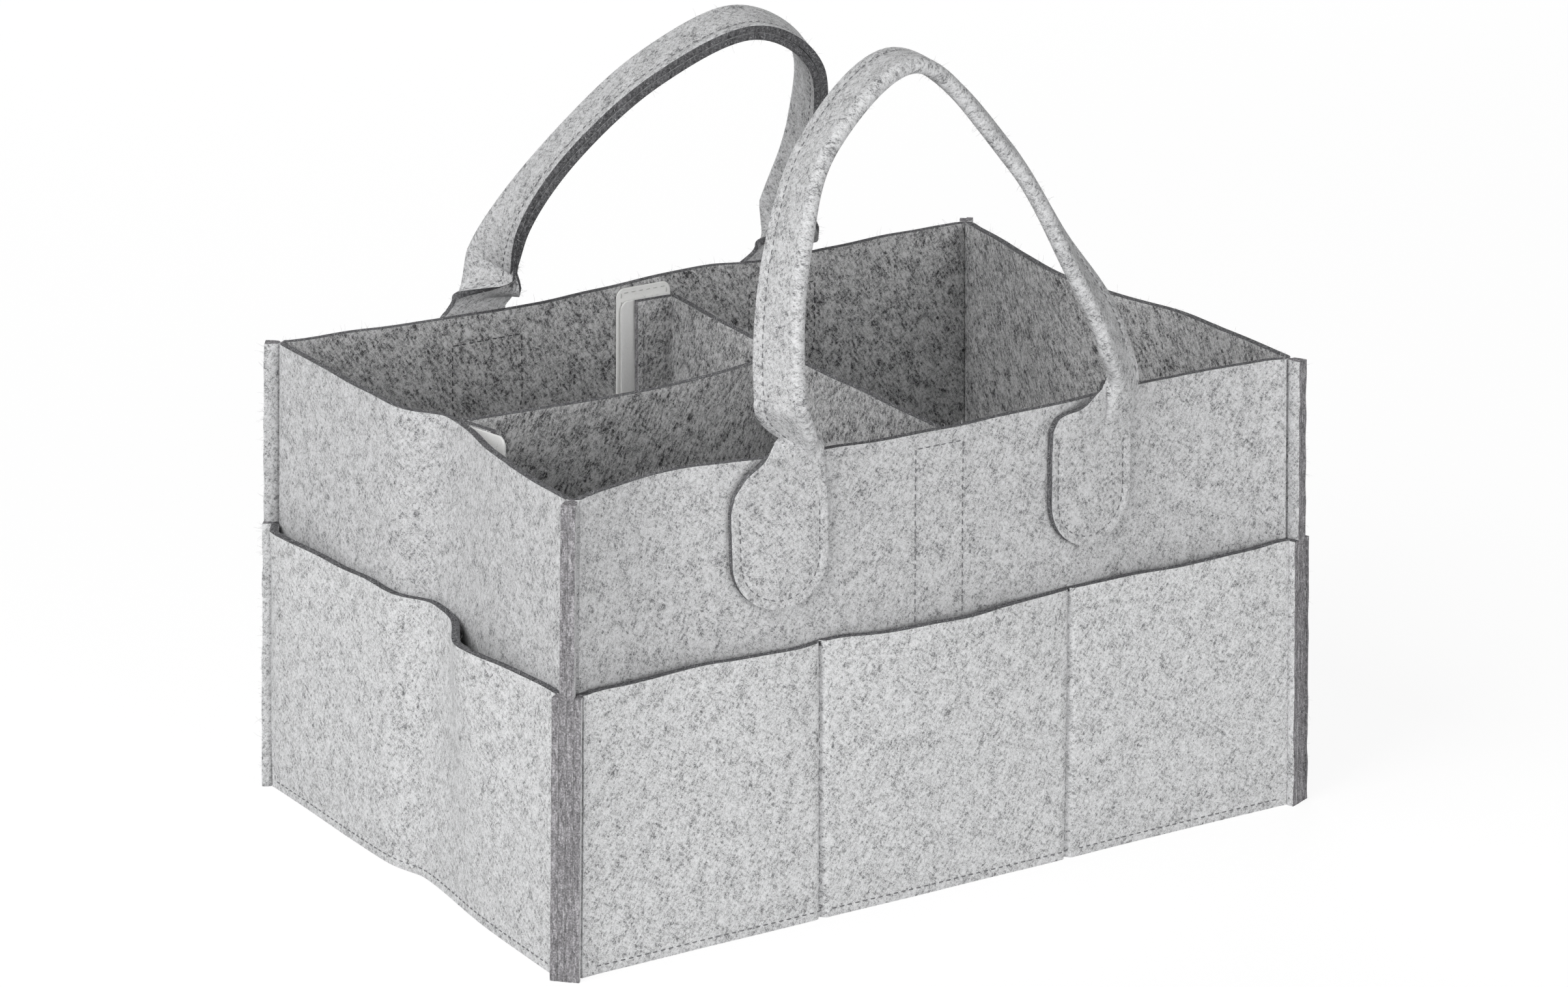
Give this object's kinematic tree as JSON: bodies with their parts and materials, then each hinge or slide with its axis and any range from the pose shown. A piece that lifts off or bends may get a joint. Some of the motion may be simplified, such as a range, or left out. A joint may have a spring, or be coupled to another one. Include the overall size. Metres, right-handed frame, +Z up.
{
  "type": "diaper caddy",
  "caption": "Open felt diaper caddy with outside pockets, two folded felt carrying handles and a lift-out T-shaped divider held by hook-and-loop tape.",
  "frame": {"origin": "middle of the footprint, on the surface that the caddy stands on", "axes": "+X along the length with the divider's long arm towards -X, the front faces -Y, +Z up"},
  "size_m": [0.3412, 0.2462, 0.3215],
  "materials": {
    "felt": "heathered light grey needle felt, matt and slightly hairy",
    "pocket_felt": "heathered light grey needle felt, matt and slightly hairy",
    "handle_felt": "heathered light grey needle felt, folded double and edge-stitched",
    "divider_felt": "heathered light grey needle felt, matt and slightly hairy",
    "loop_tape": "white woven loop tape, brushed",
    "hook_tape": "white woven hook tape"
  },
  "bodies": {
    "caddy": {"front_panel": "felt", "back_panel": "felt", "left_panel": "felt", "right_panel": "felt", "base_panel": "felt", "front_pocket_panel": "pocket_felt", "back_pocket_panel": "pocket_felt", "left_pocket_panel": "pocket_felt", "right_pocket_panel": "pocket_felt", "front_handle_left_tab": "handle_felt", "front_handle_right_tab": "handle_felt", "back_handle_left_tab": "handle_felt", "back_handle_right_tab": "handle_felt", "back_loop_tape": "loop_tape", "front_loop_tape": "loop_tape", "left_loop_tape": "loop_tape"},
    "front_handle": {"front_handle_strap": "handle_felt"},
    "back_handle": {"back_handle_strap": "handle_felt"},
    "divider": {"cross_divider": "divider_felt", "back_hook_tape": "hook_tape", "front_hook_tape": "hook_tape"},
    "divider_arm": {"long_divider": "divider_felt", "left_hook_tape": "hook_tape"}
  },
  "joints": [
    {"name": "front_handle_swing", "type": "hinge", "parent": "caddy", "child": "front_handle", "pos_m": [-0.004, -0.1168, 0.181], "axis": [1, 0, 0], "range_deg": [-33, 169]},
    {"name": "back_handle_swing", "type": "hinge", "parent": "caddy", "child": "back_handle", "pos_m": [0, 0.1184, 0.181], "axis": [-1, 0, 0], "range_deg": [-14, 188]},
    {"name": "divider_lift", "type": "slide", "parent": "caddy", "child": "divider", "axis": [0.0599, 0, 0.9982], "range_m": [0, 0.08]},
    {"name": "divider_arm_swing", "type": "hinge", "parent": "divider", "child": "divider_arm", "pos_m": [0.0082, 0.0145, 0.09], "axis": [0, 0, 1], "range_deg": [0, 20]}
  ]
}
